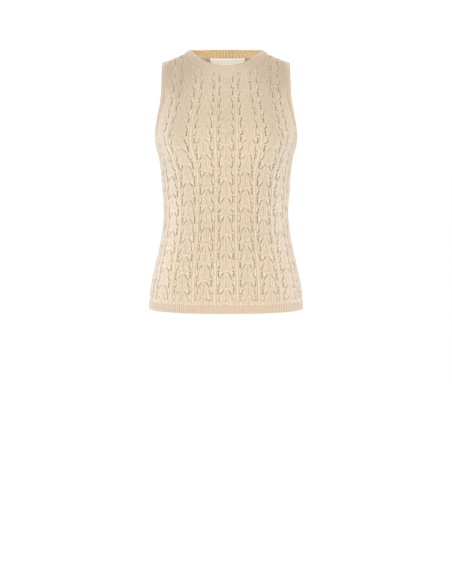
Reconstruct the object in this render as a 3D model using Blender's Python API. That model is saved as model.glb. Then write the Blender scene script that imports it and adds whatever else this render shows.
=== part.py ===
"""Sleeveless crew-neck top in pointelle lace knit, filled out as worn: open at neck, armholes and hem.

It is cut and sewn from a front and a back panel with a rib border at each hem, a neckband, two
armhole bands and a woven label inside the back neck. Lace panels are plain walls here.

Frame: metres, +Z up, the front faces -Y and +X is the wearer's left. The origin lies midway between
the shoulders, just above where the shoulder line meets the neckband.

The outer face of the cloth lies on one form, given by an angle round the body (0 at the centre front
or centre back, 90 degrees at the side seam) and a height. Every seam is a curve on that form, and
the pieces on its two sides share the curve's points, moved apart by SEAM_GAP.
"""
from collections import namedtuple
from math import pi

import bmesh
import bpy
import numpy as np

FRONT, BACK = -1, 1                  # sign of y on each half
SIDE = pi / 2                        # angle of the side seams
MIRROR = np.array([-1, 1, 1])

# Sections of the form, from the shoulders down to the hem
Section = namedtuple("Section", "height half_width front_depth back_depth")
SECTIONS = (
    Section(0.000, 0.1590, 0.0660, 0.0640),
    Section(-0.050, 0.1560, 0.0740, 0.0780),
    Section(-0.100, 0.1530, 0.0950, 0.0960),      # upper chest and shoulder blades
    Section(-0.140, 0.1550, 0.1110, 0.1030),
    Section(-0.178, 0.1535, 0.1195, 0.1060),      # bust
    Section(-0.208, 0.1450, 0.1185, 0.1050),      # underarm
    Section(-0.245, 0.1385, 0.1115, 0.0990),
    Section(-0.292, 0.1348, 0.1030, 0.0910),
    Section(-0.337, 0.1322, 0.0975, 0.0860),      # waist
    Section(-0.390, 0.1378, 0.0985, 0.0880),
    Section(-0.440, 0.1485, 0.1015, 0.0960),
    Section(-0.490, 0.1600, 0.1040, 0.1040),
    Section(-0.542, 0.1650, 0.1050, 0.1070),      # hem
)
SQUARENESS = 0.15                    # how far a section is fuller than an ellipse, at 45 degrees

# Shoulder line: where front and back meet, sloping down from the neckband to the armhole
NECK_SIDE_X = 0.0875
NECK_SIDE_Z = -0.003
SHOULDER_SLOPE = 0.41
ARMHOLE_TOP_X = 0.1350

# How the cloth rolls over the shoulder line: the drop over which it reaches its full depth, how
# round the roll is, both at the neck and at the armhole, and how far the form rises at mid neck
Roll = namedtuple("Roll", "neck_drop tip_drop neck_power tip_power neck_rise")
ROLLS = {
    FRONT: Roll(0.110, 0.055, 0.72, 0.50, 0.0102),
    BACK: Roll(0.050, 0.050, 0.50, 0.50, 0.0045),
}

# Neck seam and neck opening: depths below the side of the neck, and the opening's own ring
NECK_SEAM_DROP = {FRONT: 0.0430, BACK: 0.0045}
NECK_SEAM_ROUNDNESS = {FRONT: 1.85, BACK: 2.0}
NECK_OPENING_HALF_WIDTH = 0.0725
NECK_OPENING_DEPTH = {FRONT: 0.0560, BACK: 0.0520}
NECK_OPENING_SIDE_Z = 0.0060
NECK_OPENING_RISE = {FRONT: -0.0353, BACK: 0.0037}
NECK_OPENING_POWER = {FRONT: 1.5, BACK: 1.0}   # above 1, the top edge climbs more straightly to the side
NECKBAND_BULGE = 0.0012

ARMHOLE_BOTTOM_Z = -0.1995
ARMHOLE_CURVE = (1.7, 0.55)          # how the armhole's edge comes forward from the side seam
ARMHOLE_BAND_WIDTH = 0.0115

HEM_Z = -0.542
HEM_BAND_HEIGHT = 0.019

PANEL_THICKNESS = 0.0018
BAND_THICKNESS = 0.0022
LABEL_THICKNESS = 0.0010
SEAM_GAP = 0.0003

# Mesh density: columns over half a panel, and rows
NECK_COLUMNS = 7
SHOULDER_COLUMNS = 4
UNDERARM_COLUMNS = 3
UPPER_COLUMNS = NECK_COLUMNS + SHOULDER_COLUMNS
PANEL_COLUMNS = UPPER_COLUMNS + UNDERARM_COLUMNS
LOWER_ROWS = 17
UPPER_ROWS = 12
ROW_CROWDING = 1.5                   # how much closer the rows lie near the shoulder line
LABEL_COLUMNS = 2                    # the label takes this many panel columns each side of the centre
LABEL_ROWS = 3

CURVE_SAMPLES = 400                  # points of a curve before it is cut into even steps
NUDGE = 1e-5                         # step for finding how the form slopes
LINE_WIDTH = 1e-4                    # points this close below the shoulder line count as on it
FORM_REACH = 0.012                   # how far a point may lie off the form and still be slid onto it
HALVINGS = 40                        # how often that reach is halved to find the form
NECK_ARCH_POWER = 1.5
BAND_LEAN = 2                        # how much more the neckband's middle faces as its top edge does
SMOOTH_ANGLE = pi / 4                # edges sharper than this are shaded as edges

Finish = namedtuple("Finish", "colour roughness")
LACE = Finish((0.76, 0.60, 0.42), 0.85)
RIB = Finish((0.74, 0.58, 0.40), 0.88)
WOVEN = Finish((0.86, 0.82, 0.70), 0.60)


def smooth(column, height):
    """Read one column of SECTIONS at any heights, on a curve with no kinks."""
    known = np.array([row.height for row in SECTIONS])[::-1]
    values = np.array([getattr(row, column) for row in SECTIONS])[::-1]
    slopes = np.gradient(values, known)
    height = np.clip(height, known[0], known[-1])
    low = np.clip(np.searchsorted(known, height, side="right") - 1, 0, len(known) - 2)
    step = known[low + 1] - known[low]
    part = (height - known[low]) / step
    start = (1 + 2 * part) * (1 - part) ** 2 * values[low] + part * (1 - part) ** 2 * step * slopes[low]
    end = part ** 2 * (3 - 2 * part) * values[low + 1] - part ** 2 * (1 - part) * step * slopes[low + 1]
    return start + end


def half_depth(height, half):
    return smooth("front_depth" if half == FRONT else "back_depth", height)


def shoulder_height(x, half):
    """Height of the shoulder line; between the neck sides it arches up to shape the neck."""
    x = np.abs(x)
    outer = NECK_SIDE_Z - SHOULDER_SLOPE * (x - NECK_SIDE_X)
    inside = np.clip(1 - (x / NECK_SIDE_X) ** 2, 0, 1)
    arch = SHOULDER_SLOPE * NECK_SIDE_X / 2 * inside + ROLLS[half].neck_rise * inside ** NECK_ARCH_POWER
    return np.where(x > NECK_SIDE_X, outer, NECK_SIDE_Z + arch)


def fullness(x, height, half):
    """Share of the full depth that the form has this far below the shoulder line."""
    roll = ROLLS[half]
    along = np.clip((np.abs(x) - NECK_SIDE_X) / (ARMHOLE_TOP_X - NECK_SIDE_X), 0, 1)
    drop = roll.neck_drop + (roll.tip_drop - roll.neck_drop) * along
    power = roll.neck_power + (roll.tip_power - roll.neck_power) * along
    below = np.clip((shoulder_height(x, half) - height) / drop, 0, 1)
    return np.sin(pi / 2 * below) ** power


def form(angle, height, half):
    """Points of the cloth's outer face."""
    angle, height = np.broadcast_arrays(angle, height)
    x = smooth("half_width", height) * np.sin(angle)
    depth = half_depth(height, half) * np.cos(angle) * (1 + SQUARENESS * np.sin(angle) ** 2)
    return np.stack([x, half * depth * fullness(x, height, half), height], axis=-1)


def form_angle(x, height):
    return np.arcsin(np.clip(x / smooth("half_width", height), -1, 1))


def unit(vectors):
    return vectors / np.linalg.norm(vectors, axis=-1, keepdims=True)


def form_normal(angle, height, half):
    """Outward normals; on the shoulder line they stand square to it."""
    round_body = form(angle + NUDGE, height, half) - form(angle - NUDGE, height, half)
    up_body = form(angle, height + NUDGE, half) - form(angle, height - NUDGE, half)
    normal = half * np.cross(up_body, round_body)
    x = smooth("half_width", height) * np.sin(angle)
    on_line = shoulder_height(x, half) - height < LINE_WIDTH
    normal[on_line] = np.stack([SHOULDER_SLOPE * np.sign(x), 0 * x, 1 + 0 * x], axis=-1)[on_line]
    return unit(normal)


def is_inside(points):
    x, y, z = points.T
    width = smooth("half_width", z)
    angle = np.arcsin(np.clip(x / width, -1, 1))
    shape = np.cos(angle) * (1 + SQUARENESS * np.sin(angle) ** 2)
    held = np.zeros(len(points), dtype=bool)
    for half in (FRONT, BACK):
        reach = half_depth(z, half) * shape * fullness(x, z, half)
        held |= (half * y >= 0) & (half * y < reach) & (shoulder_height(x, half) > z)
    return held & (np.abs(x) < width)


def to_form(points, normals):
    """Slide points along their normals until they lie on the form."""
    low = np.full(len(points), -FORM_REACH)
    high = np.full(len(points), FORM_REACH)
    for _ in range(HALVINGS):
        middle = (low + high) / 2
        held = is_inside(points + normals * middle[:, None])
        low = np.where(held, middle, low)
        high = np.where(held, high, middle)
    return points + normals * ((low + high) / 2)[:, None]


def even_points(curve, shares):
    """Rows of a dense curve at the given shares of its length; x, y and z are its first columns."""
    steps = np.linalg.norm(np.diff(curve[:, :3], axis=0), axis=1)
    length = np.concatenate([[0], np.cumsum(steps)])
    return np.stack([np.interp(shares * length[-1], length, column) for column in curve.T], axis=1)


def normals_at(points, half):
    """Outward normals at points that lie on the form."""
    return form_normal(form_angle(points[:, 0], points[:, 2]), points[:, 2], half)


def step_off(points, half, distance, start_tangent, end_tangent):
    """A curve on the form beside another one, to the left of its direction seen from outside."""
    normals = normals_at(points, half)
    tangents = np.gradient(points, axis=0)
    tangents[0] = start_tangent
    tangents[-1] = end_tangent
    sideways = unit(np.cross(normals, unit(tangents)))
    return to_form(points + sideways * distance, normals)


def armhole_curve(half, offset):
    """The left armhole's edge from the underarm to the shoulder line, moved onto the panel."""
    top_z = float(shoulder_height(ARMHOLE_TOP_X, half))
    share = np.sin(pi / 2 * np.linspace(0, 1, CURVE_SAMPLES)) ** 2
    height = ARMHOLE_BOTTOM_Z + (top_z - ARMHOLE_BOTTOM_Z) * share
    first, second = ARMHOLE_CURVE
    forward = (1 - (1 - share) ** first) ** second
    angle = SIDE - (SIDE - form_angle(ARMHOLE_TOP_X, top_z)) * forward
    count = UNDERARM_COLUMNS + UPPER_ROWS
    edge = even_points(form(angle, height, half), np.linspace(0, 1, count + 1))
    along_y = np.array([0, half, 0])
    return step_off(edge, half, -half * offset, along_y, -along_y)


def neck_shares():
    return np.linspace(0, SIDE, NECK_COLUMNS + 1)


def neck_seam(half, offset):
    """The neck seam from the centre to the shoulder line, moved down onto the panel by offset."""
    turn = neck_shares()
    power = 2 / NECK_SEAM_ROUNDNESS[half]
    x = NECK_SIDE_X * np.sin(turn) ** power
    height = NECK_SIDE_Z - NECK_SEAM_DROP[half] * np.cos(turn) ** power
    height[-1] = NECK_SIDE_Z
    points = form(form_angle(x, height), height, half)
    along_x = np.array([1, 0, 0])
    along_y = np.array([0, -half, 0])
    return step_off(points, half, half * offset, along_x, along_y)


def neck_opening(half):
    """The top edge of the neckband from the centre to the side."""
    turn = neck_shares()
    x = NECK_OPENING_HALF_WIDTH * np.sin(turn)
    y = half * NECK_OPENING_DEPTH[half] * np.cos(turn)
    z = NECK_OPENING_SIDE_Z + NECK_OPENING_RISE[half] * np.cos(turn) ** NECK_OPENING_POWER[half]
    return np.stack([x, y, z], axis=1)


def transfinite(bottom, top, left, right, across, up):
    """Fill a four-sided patch from its edges; each edge is a row of (angle, height) pairs."""
    across = across[None, :, None]
    up = up[:, None, None]
    between_sides = (1 - across) * left[:, None] + across * right[:, None]
    between_ends = (1 - up) * bottom[None] + up * top[None]
    low_corners = (1 - across) * bottom[0] + across * bottom[-1]
    high_corners = (1 - across) * top[0] + across * top[-1]
    return between_sides + between_ends - (1 - up) * low_corners - up * high_corners


def panel_net(half):
    """Angles and heights of half a panel: rows up from the hem seam, then rows beside the armhole."""
    armhole = armhole_curve(half, ARMHOLE_BAND_WIDTH + SEAM_GAP / 2)
    below = armhole[:UNDERARM_COLUMNS + 1]
    beside = armhole[UNDERARM_COLUMNS:]
    rise = 1 - (1 - np.linspace(0, 1, UPPER_ROWS + 1)) ** ROW_CROWDING
    neck = neck_seam(half, SEAM_GAP / 2)
    shoulder = neck[-1] + (armhole[-1] - neck[-1]) * np.linspace(0, 1, SHOULDER_COLUMNS + 1)[1:, None]
    top = np.vstack([neck, shoulder])

    def net(points):
        return np.stack([form_angle(points[:, 0], points[:, 2]), points[:, 2]], axis=1)

    corner = net(beside)[0]
    across = np.linspace(0, 1, UPPER_COLUMNS + 1)
    middle = np.stack([corner[0] * across, np.full(UPPER_COLUMNS + 1, corner[1])], axis=1)
    middle = np.vstack([middle, net(below)[::-1][1:]])
    hem_z = HEM_Z + HEM_BAND_HEIGHT + SEAM_GAP / 2
    hem = np.stack([np.linspace(0, SIDE, PANEL_COLUMNS + 1), np.full(PANEL_COLUMNS + 1, hem_z)], axis=1)
    up = np.linspace(0, 1, LOWER_ROWS + 1)[:, None, None]
    lower = hem[None] * (1 - up) + middle[None] * up
    centre = np.stack([0 * rise, corner[1] + (top[0, 2] - corner[1]) * rise], axis=1)
    upper = transfinite(middle[:UPPER_COLUMNS + 1], net(top), centre, net(beside), across, rise)
    return lower, upper, top


def mirrored(rows):
    """Add the other side of the body to rows that run out from the centre."""
    return np.concatenate([rows[:, :0:-1] * MIRROR, rows], axis=1)


def grid_faces(index):
    """Triangles of a grid of point numbers; every wall splits its cells along the same diagonal."""
    faces = []
    for low, high in zip(index[:-1], index[1:]):
        for corner, right, above_right, above in zip(low[:-1], low[1:], high[1:], high[:-1]):
            faces.append((corner, right, above_right))
            faces.append((corner, above_right, above))
    return faces


def make_material(name, finish):
    material = bpy.data.materials.new(name)
    material.use_nodes = True
    shader = material.node_tree.nodes["Principled BSDF"]
    shader.inputs["Base Color"].default_value = (*finish.colour, 1)
    shader.inputs["Roughness"].default_value = finish.roughness
    shader.inputs["Metallic"].default_value = 0
    return material


def make_wall(name, points, normals, faces, thickness, material, parent, location=(0, 0, 0)):
    """A closed wall: the given faces outside, the same faces inside, and a rim round every edge."""
    mesh = bmesh.new()
    outer = [mesh.verts.new(point) for point in points - np.array(location)]
    inner = [mesh.verts.new(point) for point in points - normals * thickness - np.array(location)]
    borders = {}
    for face in faces:
        mesh.faces.new([outer[i] for i in face])
        mesh.faces.new([inner[i] for i in reversed(face)])
        for start, end in zip(face, face[1:] + face[:1]):
            borders[start, end] = (end, start)
    for (start, end), other in borders.items():
        if other not in borders:
            mesh.faces.new([outer[end], outer[start], inner[start], inner[end]])
    data = bpy.data.meshes.new(name)
    mesh.to_mesh(data)
    mesh.free()
    data.shade_smooth()
    data.set_sharp_from_angle(angle=SMOOTH_ANGLE)
    data.materials.append(material)
    piece = bpy.data.objects.new(name, data)
    piece.location = location
    piece.parent = parent
    bpy.context.scene.collection.objects.link(piece)
    return piece


def outward(faces, half):
    """Turn faces so that they look away from the body on either half."""
    return faces if half == FRONT else [tuple(reversed(face)) for face in faces]


def panel_points(half):
    """Points and normals of a whole panel: its lower part, and its upper part between the armholes."""
    lower, upper, top = panel_net(half)
    lower_points = form(lower[..., 0], lower[..., 1], half)
    lower_normals = form_normal(lower[..., 0], lower[..., 1], half)
    upper_points = form(upper[..., 0], upper[..., 1], half)
    upper_normals = form_normal(upper[..., 0], upper[..., 1], half)
    upper_points[-1] = top
    # Front and back part by the seam gap along the side seams and the shoulder line
    lower_points[:, -1, 1] += half * SEAM_GAP / 2
    upper_points[-1, NECK_COLUMNS:, 1] += half * SEAM_GAP / 2
    return [mirrored(rows) for rows in (lower_points, lower_normals, upper_points, upper_normals)]


def make_panel(name, half, material, parent):
    """A front or back panel: hem seam to neck seam, side seam to side seam."""
    lower_points, lower_normals, upper_points, upper_normals = panel_points(half)
    index = np.arange(lower_points[..., 0].size).reshape(lower_points.shape[:2])
    extra = np.arange(upper_points[1:, :, 0].size).reshape(UPPER_ROWS, -1) + index.size
    shared = index[-1, UNDERARM_COLUMNS:-UNDERARM_COLUMNS]
    faces = grid_faces(index) + grid_faces(np.vstack([shared, extra]))
    points = np.vstack([lower_points.reshape(-1, 3), upper_points[1:].reshape(-1, 3)])
    normals = np.vstack([lower_normals.reshape(-1, 3), upper_normals[1:].reshape(-1, 3)])
    return make_wall(name, points, normals, outward(faces, half), PANEL_THICKNESS, material, parent)


def make_hem(name, half, material, parent):
    """The rib border at the bottom of a panel."""
    angle = np.linspace(0, SIDE, PANEL_COLUMNS + 1)
    height = np.array([HEM_Z, HEM_Z + HEM_BAND_HEIGHT - SEAM_GAP / 2])[:, None]
    points = form(angle[None], height, half)
    normals = form_normal(*np.broadcast_arrays(angle[None], height), half)
    points[:, -1, 1] += half * SEAM_GAP / 2
    points, normals = mirrored(points), mirrored(normals)
    faces = grid_faces(np.arange(points[..., 0].size).reshape(points.shape[:2]))
    place = (0, 0, HEM_Z)
    return make_wall(name, points.reshape(-1, 3), normals.reshape(-1, 3), outward(faces, half),
                     BAND_THICKNESS, material, parent, place)


def ring_faces(rows, count):
    """Faces of a closed band with the given number of rows of points."""
    index = np.arange(rows * count).reshape(rows, count)
    return grid_faces(np.hstack([index, index[:, :1]]))


def full_round(front, back):
    """Join a front and a back quarter curve, centre to side, into a ring."""
    quarter = np.vstack([front, back[-2::-1]])
    return np.vstack([quarter, quarter[-2:0:-1] * MIRROR])


def make_neckband(material, parent):
    """The neckband: a ring that stands on the neck seam and leans in to the neck opening."""
    front = neck_seam(FRONT, -SEAM_GAP / 2)
    back = neck_seam(BACK, -SEAM_GAP / 2)
    seam = full_round(front, back)
    seam_normals = full_round(normals_at(front, FRONT), normals_at(back, BACK))
    edge = full_round(neck_opening(FRONT), neck_opening(BACK))
    along = unit(np.roll(edge, -1, axis=0) - np.roll(edge, 1, axis=0))
    band_normals = unit(np.cross(along, unit(edge - seam)))
    middle_normals = unit(seam_normals + BAND_LEAN * band_normals)
    middle = (seam + edge) / 2 + middle_normals * NECKBAND_BULGE
    points = np.vstack([seam, middle, edge])
    normals = np.vstack([seam_normals, middle_normals, band_normals])
    place = (0, 0, NECK_SIDE_Z)
    return make_wall("neckband", points, normals, ring_faces(3, len(seam)), BAND_THICKNESS,
                     material, parent, place)


def make_armhole_band(name, side, material, parent):
    """An armhole band: a flat strip on the form from the panel's edge to the armhole's edge."""
    flip = np.array([side, 1, 1])
    rows = []
    normals = []
    for width in (ARMHOLE_BAND_WIDTH - SEAM_GAP / 2, ARMHOLE_BAND_WIDTH / 2, 0):
        front = armhole_curve(FRONT, width)
        back = armhole_curve(BACK, width)
        rows.append(np.vstack([front[:-1], back[:0:-1]]) * flip)
        both = np.vstack([normals_at(front, FRONT)[:-1], normals_at(back, BACK)[:0:-1]])
        normals.append(both * flip)
    faces = ring_faces(3, len(rows[0]))
    if side > 0:
        faces = [tuple(reversed(face)) for face in faces]
    place = (side * ARMHOLE_TOP_X, 0, (ARMHOLE_BOTTOM_Z + NECK_SIDE_Z) / 2)
    return make_wall(name, np.vstack(rows), np.vstack(normals), faces, BAND_THICKNESS,
                     material, parent, place)


def make_label(material, parent):
    """The woven label, sewn into the back neck seam, against the inside of the back panel."""
    _, _, points, normals = panel_points(BACK)
    rows = slice(UPPER_ROWS - LABEL_ROWS, None)
    columns = slice(UPPER_COLUMNS - LABEL_COLUMNS, UPPER_COLUMNS + LABEL_COLUMNS + 1)
    normals = normals[rows, columns]
    points = points[rows, columns] - normals * (PANEL_THICKNESS + SEAM_GAP)
    faces = grid_faces(np.arange(points[..., 0].size).reshape(points.shape[:2]))
    return make_wall("label", points.reshape(-1, 3), normals.reshape(-1, 3), outward(faces, BACK),
                     LABEL_THICKNESS, material, parent)


def build():
    for thing in list(bpy.data.objects):
        bpy.data.objects.remove(thing)
    lace = make_material("pointelle_knit", LACE)
    rib = make_material("rib_knit", RIB)
    woven = make_material("label_tape", WOVEN)
    garment = bpy.data.objects.new("knit_top", None)
    bpy.context.scene.collection.objects.link(garment)
    make_panel("front", FRONT, lace, garment)
    make_panel("back", BACK, lace, garment)
    make_hem("hem_front", FRONT, rib, garment)
    make_hem("hem_back", BACK, rib, garment)
    make_neckband(rib, garment)
    make_armhole_band("armhole_band_left", 1, rib, garment)
    make_armhole_band("armhole_band_right", -1, rib, garment)
    make_label(woven, garment)


build()
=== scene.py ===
"""Sleeveless knit top: the looks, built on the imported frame.

Every piece of cloth lies on one form, given by an angle round the body and a height. A panel is
first laid out flat in pattern space, in columns (wales between two cords) and repeats (rows of the
lace), with every eyelet as a real opening, and is then carried onto the form.
"""
from collections import namedtuple
from math import pi, radians

import bpy
import numpy as np
from mathutils.geometry import delaunay_2d_cdt
from mathutils.kdtree import KDTree
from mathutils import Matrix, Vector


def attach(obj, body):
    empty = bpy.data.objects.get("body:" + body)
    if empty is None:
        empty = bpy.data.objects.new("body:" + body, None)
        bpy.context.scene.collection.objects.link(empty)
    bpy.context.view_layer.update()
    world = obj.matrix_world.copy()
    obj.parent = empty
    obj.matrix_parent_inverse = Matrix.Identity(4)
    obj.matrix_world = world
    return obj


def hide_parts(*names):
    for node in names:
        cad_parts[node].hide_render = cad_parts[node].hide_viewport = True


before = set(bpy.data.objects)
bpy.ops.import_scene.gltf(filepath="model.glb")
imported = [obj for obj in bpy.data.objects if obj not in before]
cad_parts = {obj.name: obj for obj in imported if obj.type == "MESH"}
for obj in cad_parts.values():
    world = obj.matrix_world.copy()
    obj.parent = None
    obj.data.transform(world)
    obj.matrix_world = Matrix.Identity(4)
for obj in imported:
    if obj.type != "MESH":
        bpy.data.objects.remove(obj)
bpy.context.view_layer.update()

MM, TO_MM = 0.001, 1000  # metres in a millimetre, and the reverse
FRONT, BACK = -1, 1  # sign of y on each half
SIDE = pi / 2  # angle of the side seams
MIRROR = np.array([-1, 1, 1])

# ---- the form
Section = namedtuple("Section", "height half_width front_depth back_depth")
SECTIONS = [Section(*row) for row in (
    (0.000, 0.1590, 0.0660, 0.0640),
    (-0.050, 0.1560, 0.0740, 0.0780),
    (-0.100, 0.1530, 0.0950, 0.0960),
    (-0.140, 0.1550, 0.1110, 0.1030),
    (-0.178, 0.1535, 0.1195, 0.1060),  # bust
    (-0.208, 0.1450, 0.1185, 0.1050),  # underarm
    (-0.245, 0.1385, 0.1115, 0.0990),
    (-0.292, 0.1348, 0.1030, 0.0910),
    (-0.337, 0.1322, 0.0975, 0.0860),  # waist
    (-0.390, 0.1378, 0.0985, 0.0880),
    (-0.440, 0.1485, 0.1015, 0.0960),
    (-0.490, 0.1600, 0.1040, 0.1040),
    (-0.542, 0.1650, 0.1050, 0.1070),  # hem
)]
SQUARENESS = 0.15  # how much fuller than an ellipse a section is
NECK_SIDE_X = 0.0875
NECK_SIDE_Z = -0.003
SHOULDER_SLOPE = 0.41
ARMHOLE_TOP_X = 0.1350
NECK_ARCH_POWER = 1.5
OPENING_SIDE_X = 0.0725
OPENING_SIDE_Z = 0.0060
Half = namedtuple("Half", "neck_drop tip_drop neck_power tip_power neck_rise "  # how it rounds over
                          "seam_drop seam_roundness opening_depth opening_rise opening_power "
                          "cord_share seed eyelet_size lowest_eyelet")  # lowest above the hem seam
HALVES = {
    FRONT: Half(0.110, 0.055, 0.72, 0.50, 0.0102, 0.0430, 1.85, 0.0560, -0.0353, 1.5,
                (1, 1, 1), 7, 1, 0.0075),
    # The back's columns widen towards its sides, and it is less stretched. The light behind the
    # garment would show through lower eyelets under its hem
    BACK: Half(0.050, 0.050, 0.50, 0.50, 0.0045, 0.0045, 2.0, 0.0520, 0.0037, 1.0,
               (0.82, 0.88, 0.93), 8, 0.88, 0),
}
ARMHOLE_BOTTOM_Z = -0.1995
ARMHOLE_CURVE = (1.7, 0.55)
BAND_WIDTH = 0.0115
HEM_Z = -0.542
HEM_SEAM_Z = -0.523
SEAM_GAP = 0.00015  # half the gap between neckband and panels
NUDGE = 1e-5  # step that measures the slope of the form
LINE_WIDTH = 1e-4  # points this near the shoulder line count as on it
FORM_REACH, HALVINGS = 0.012, 30  # how far points are slid onto the form, and steps of that search
ARMHOLE_SAMPLES, NECK_SAMPLES = 600, 400

# ---- the lace, laid flat
COLUMN_PITCH = 46.0  # mm between two cords, relaxed
REPEAT_PITCH = 39.0  # mm from one bar to the next down a column, relaxed
PITCH = np.array([COLUMN_PITCH, REPEAT_PITCH])
STITCHES = 24  # stitches across a column
ROWS = 20  # rows in a repeat
COLUMNS = 9  # columns across a panel; the outermost cords are the side seams
TUCK = 1.5  # mm that a panel reaches under its bands

# Angles of the cords round the body, in degrees, by height; the fourth lies midway to the seam
Cords = namedtuple("Cords", "height first second third")
CORDS = [Cords(*row) for row in (
    (-0.050, 7.1, 20.6, 38.4), (-0.071, 7.1, 21.1, 40.1), (-0.102, 7.4, 23.2, 42.9),
    (-0.122, 7.5, 24.8, 45.1), (-0.143, 7.9, 26.0, 47.6), (-0.163, 8.1, 27.2, 50.8),
    (-0.180, 8.3, 28.3, 53.2), (-0.200, 8.4, 28.2, 53.4), (-0.218, 8.3, 27.2, 50.9),
    (-0.234, 8.2, 25.6, 48.4), (-0.250, 8.4, 24.9, 46.6), (-0.280, 8.7, 25.2, 45.1),
    (-0.317, 8.9, 25.9, 45.4), (-0.358, 8.9, 26.2, 45.4), (-0.400, 8.7, 26.0, 46.0),
    (-0.441, 8.6, 26.1, 46.0), (-0.472, 8.5, 25.6, 45.5), (-0.514, 8.4, 25.0, 45.0),
    (-0.545, 8.4, 24.8, 44.8),
)]
CORD_PLACES = np.array([0, 0.5, 1.5, 2.5, 3.5, 4.5])  # columns from the centre
# Heights of the bars in the centre column, counted in repeats up from the hem
BARS = list(enumerate((
    -0.5520, -0.5210, -0.4910, -0.4540, -0.4175, -0.3785, -0.3390, -0.2995, -0.2635, -0.2275,
    -0.1940, -0.1635, -0.1370, -0.1110, -0.0840, -0.0555), start=-1))
TOP_BAR = BARS[-1][0]
TOP_REPEAT = 37.0 * MM  # length of a repeat above the last of them
COURSE_DIP = 0.034  # repeats that a course drops one column out, growing as the square
DIP_START = 0.05  # height above the hem over which that sets in

# Eyelets of one half motif. across: 0 at the column's middle, 1 at the cord. down: share of the
# repeat below the bar. long and wide: mm. lean: degrees from upright, its foot towards the cord.
Eyelet = namedtuple("Eyelet", "across down long wide lean")
EYELETS = [Eyelet(*row) for row in (
    (0.255, 0.095, 3.3, 1.9, 34), (0.340, 0.175, 3.4, 2.4, 34),  # the arms of the leaf
    (0.425, 0.255, 3.4, 2.5, 34), (0.510, 0.335, 3.0, 1.9, 34),
    (0.682, -0.025, 3.1, 3.3, 0), (0.682, 0.068, 2.7, 2.4, 0),  # the slots by the cord
    (0.682, 0.164, 3.1, 3.4, 0), (0.675, 0.262, 3.0, 3.1, 0),
    (0.640, 0.460, 2.0, 1.4, 45), (0.545, 0.580, 2.5, 3.2, 0),  # the foot and the dot
    (0.590, 0.700, 3.3, 2.7, 46), (0.695, 0.785, 3.3, 2.7, 46),  # the stroke
)]
ARMS = 0.55, 0.36  # eyelets nearer the middle and the bar than this are the arms
EYELET_SIDES = 7
CORD_HALF_WIDTH = 3.1  # mm
CORD_SAMPLES = (0.0, 1.4, 2.6, 3.6, 4.6)
CORD_ROWS = 9
LEAF_SAMPLES = (0.0, 0.12, 0.24, 0.36, 0.48, 0.60, 0.76)
LEAF_ROWS = (0.0, 0.04, 0.08, 0.13, 0.19, 0.25, 0.32, 0.39, 0.46, 0.53, 0.60, 0.67, 0.74, 0.81,
             0.87, 0.92, 0.96)
INNER_SAMPLES = (0.0, 0.30, 0.60, 1.0)
INNER_ROWS = np.arange(8) / 8
# Half width of the raised leaf, by its share of the repeat below the bar
LEAF_OUTLINE = ((0.00, 0.26), (0.06, 0.06), (0.15, 0.20), (0.30, 0.44), (0.44, 0.66), (0.52, 0.62),
                (0.60, 0.50), (0.72, 0.44), (0.84, 0.43), (0.93, 0.33), (1.00, 0.26))
LEAF_EDGE = 0.25  # share of the half column in which the leaf falls off

# The lace is most stretched at the bust; above it the arms close and the relief fades. In repeats.
BUST_BAR, BUST_SPREAD, BUST_STRETCH = 7.5, 2.2, 0.14
ARMS_FADE, MOTIF_FADE = 3, 3.5
ARMS_CLOSED = 0.60  # how far the arms close towards the shoulders
OUTER_ARMS = 0.88  # size of the arms beside the centre column
SHIFT, TURN = (0.2, 0.1), 0.1  # mm and radians by which eyelets are out of place
LENGTHS, WIDTHS = (0.88, 1.0), (0.85, 1.20)  # their sizes differ by these factors
EDGE_STEP = 2.3  # mm between points of a panel's edge
EYELET_ROOM = 3.8  # mm from a panel's edge to an eyelet's middle, at least
# mm that lattice points keep from a panel's edge and from the rims of its eyelets
OUTER_ROOM, INNER_ROOM = (1.0, 0.55), (2.0, 0.8)


def stacked(*parts):
    """Arrays and single numbers side by side, as the columns of one array."""
    return np.stack(np.broadcast_arrays(*parts), axis=-1)


def bump(distance, width):
    return np.exp(-(distance / width) ** 2)


def smoothstep(value):
    value = np.clip(value, 0, 1)
    return value ** 2 * (3 - 2 * value)


def ramp(value, start, length):
    """A soft rise from 0 at start to 1 a length further on."""
    return smoothstep((value - start) / length)


def hermite(known, values, at):
    """A smooth curve through known points, read at other places; known runs upwards."""
    known, values = np.asarray(known, float), np.asarray(values, float)
    slopes = np.gradient(values, known)
    at = np.clip(at, known[0], known[-1])
    low = np.clip(np.searchsorted(known, at, side="right") - 1, 0, len(known) - 2)
    step = known[low + 1] - known[low]
    part = (at - known[low]) / step
    rest = 1 - part
    start = (1 + 2 * part) * rest ** 2 * values[low] + part * rest ** 2 * step * slopes[low]
    end = part ** 2 * (3 - 2 * part) * values[low + 1] - part ** 2 * rest * step * slopes[low + 1]
    return start + end


def smooth(column, height):
    """A column of SECTIONS, read at any height."""
    rows = SECTIONS[::-1]
    return hermite([row.height for row in rows], [getattr(row, column) for row in rows], height)


def half_depth(height, half):
    return smooth("front_depth" if half == FRONT else "back_depth", height)


def line_height(x, half):
    """Height of the shoulder line, and of the arch between its two sides."""
    x = np.abs(x)
    outer = NECK_SIDE_Z - SHOULDER_SLOPE * (x - NECK_SIDE_X)
    inside = np.clip(1 - (x / NECK_SIDE_X) ** 2, 0, 1)
    rise = HALVES[half].neck_rise * inside ** NECK_ARCH_POWER
    return np.where(x > NECK_SIDE_X, outer,
                    NECK_SIDE_Z + (SHOULDER_SLOPE * NECK_SIDE_X / 2 * inside + rise))


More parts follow.
